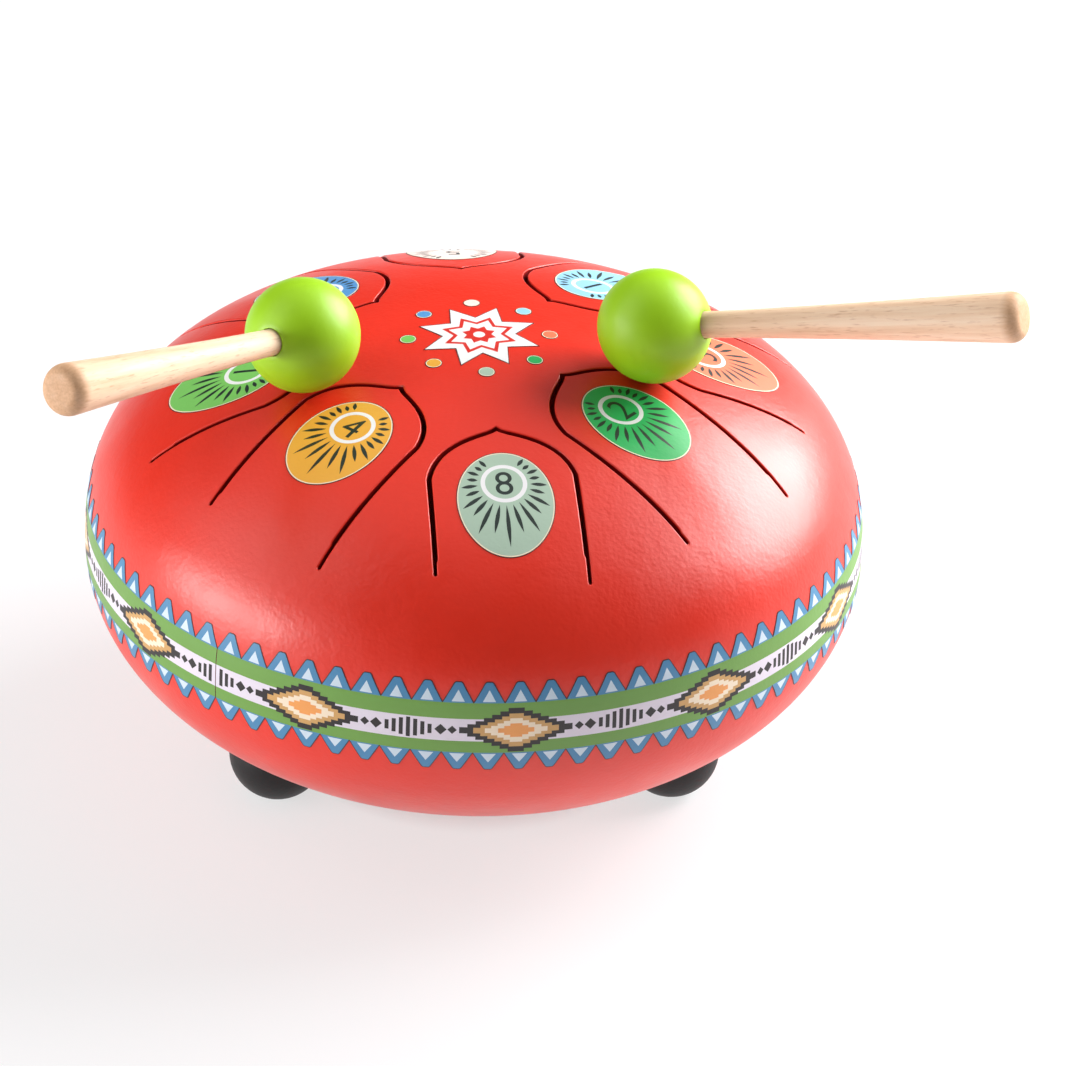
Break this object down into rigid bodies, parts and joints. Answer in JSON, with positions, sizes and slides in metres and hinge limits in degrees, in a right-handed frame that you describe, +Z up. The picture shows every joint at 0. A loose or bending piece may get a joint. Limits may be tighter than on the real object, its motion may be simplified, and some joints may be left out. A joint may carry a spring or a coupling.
{
  "type": "tongue drum",
  "caption": "Small steel tongue drum: domed upper shell with slotted tongues, rounded lower shell, printed rim band, rubber feet and a pair of ball mallets.",
  "frame": {"origin": "centre of the set's bounding box, mallets included, at the level the feet stand on", "axes": "+X to the player's right, +Y away from the player, +Z up along the drum's axis"},
  "size_m": [0.234, 0.202, 0.1588],
  "materials": {
    "enamel": "semi-gloss red enamel with a slight orange peel",
    "band_film": "printed transfer film in green, blue, white and orange",
    "star_film": "printed transfer film, white",
    "foot_rubber": "matt black rubber",
    "ball_rubber": "satin lime green rubber",
    "beech": "bare sanded beech",
    "spot_1": "printed transfer film with a plain digit",
    "spot_2": "printed transfer film with a plain digit",
    "spot_3": "printed transfer film with a plain digit",
    "spot_4": "printed transfer film with a plain digit",
    "spot_5": "printed transfer film with a plain digit",
    "spot_6": "printed transfer film with a plain digit",
    "spot_7": "printed transfer film with a plain digit",
    "spot_8": "printed transfer film with a plain digit"
  },
  "bodies": {
    "drum": {"upper_shell": "enamel", "lower_shell": "enamel", "rim_band": "band_film", "centre_star": "star_film", "foot_front_left": "foot_rubber", "foot_front_right": "foot_rubber", "foot_rear": "foot_rubber"},
    "tongue_1_body": {"tongue_1": "enamel", "note_spot_1": "spot_1"},
    "tongue_2_body": {"tongue_2": "enamel", "note_spot_2": "spot_2"},
    "tongue_3_body": {"tongue_3": "enamel", "note_spot_3": "spot_3"},
    "tongue_4_body": {"tongue_4": "enamel", "note_spot_4": "spot_4"},
    "tongue_5_body": {"tongue_5": "enamel", "note_spot_5": "spot_5"},
    "tongue_6_body": {"tongue_6": "enamel", "note_spot_6": "spot_6"},
    "tongue_7_body": {"tongue_7": "enamel", "note_spot_7": "spot_7"},
    "tongue_8_body": {"tongue_8": "enamel", "note_spot_8": "spot_8"},
    "mallet_left": {"mallet_left_head": "ball_rubber", "mallet_left_handle": "beech"},
    "mallet_right": {"mallet_right_head": "ball_rubber", "mallet_right_handle": "beech"}
  },
  "joints": [
    {"name": "tongue_1_flex", "type": "hinge", "parent": "drum", "child": "tongue_1_body", "pos_m": [0.0349, 0.06689, 0.09607], "axis": [-0.7934, 0.6088, 0], "range_deg": [-1, 0.5], "stiffness_Nm_per_rad": 2},
    {"name": "tongue_2_flex", "type": "hinge", "parent": "drum", "child": "tongue_2_body", "pos_m": [0.05041, -0.05092, 0.09607], "axis": [0.6088, 0.7934, 0], "range_deg": [-1, 0.5], "stiffness_Nm_per_rad": 2},
    {"name": "tongue_3_flex", "type": "hinge", "parent": "drum", "child": "tongue_3_body", "pos_m": [0.06706, 0.0112, 0.09607], "axis": [-0.1305, 0.9914, 0], "range_deg": [-1, 0.5], "stiffness_Nm_per_rad": 2},
    {"name": "tongue_4_flex", "type": "hinge", "parent": "drum", "child": "tongue_4_body", "pos_m": [-0.0674, -0.06643, 0.09607], "axis": [0.7934, -0.6088, 0], "range_deg": [-1, 0.5], "stiffness_Nm_per_rad": 2},
    {"name": "tongue_5_flex", "type": "hinge", "parent": "drum", "child": "tongue_5_body", "pos_m": [-0.02722, 0.08354, 0.09607], "axis": [-0.9914, -0.1305, 0], "range_deg": [-1, 0.5], "stiffness_Nm_per_rad": 2},
    {"name": "tongue_6_flex", "type": "hinge", "parent": "drum", "child": "tongue_6_body", "pos_m": [-0.08291, 0.05138, 0.09607], "axis": [-0.6088, -0.7934, 0], "range_deg": [-1, 0.5], "stiffness_Nm_per_rad": 2},
    {"name": "tongue_7_flex", "type": "hinge", "parent": "drum", "child": "tongue_7_body", "pos_m": [-0.09955, -0.01073, 0.09607], "axis": [0.1305, -0.9914, 0], "range_deg": [-1, 0.5], "stiffness_Nm_per_rad": 2},
    {"name": "tongue_8_flex", "type": "hinge", "parent": "drum", "child": "tongue_8_body", "pos_m": [-0.00528, -0.08307, 0.09607], "axis": [0.9914, 0.1305, 0], "range_deg": [-1, 0.5], "stiffness_Nm_per_rad": 2},
    {"name": "mallet_left_lift", "type": "slide", "parent": "drum", "child": "mallet_left", "axis": [0, 0, 1], "range_m": [0, 0.08]},
    {"name": "mallet_right_lift", "type": "slide", "parent": "drum", "child": "mallet_right", "axis": [0, 0, 1], "range_m": [0, 0.08]}
  ]
}
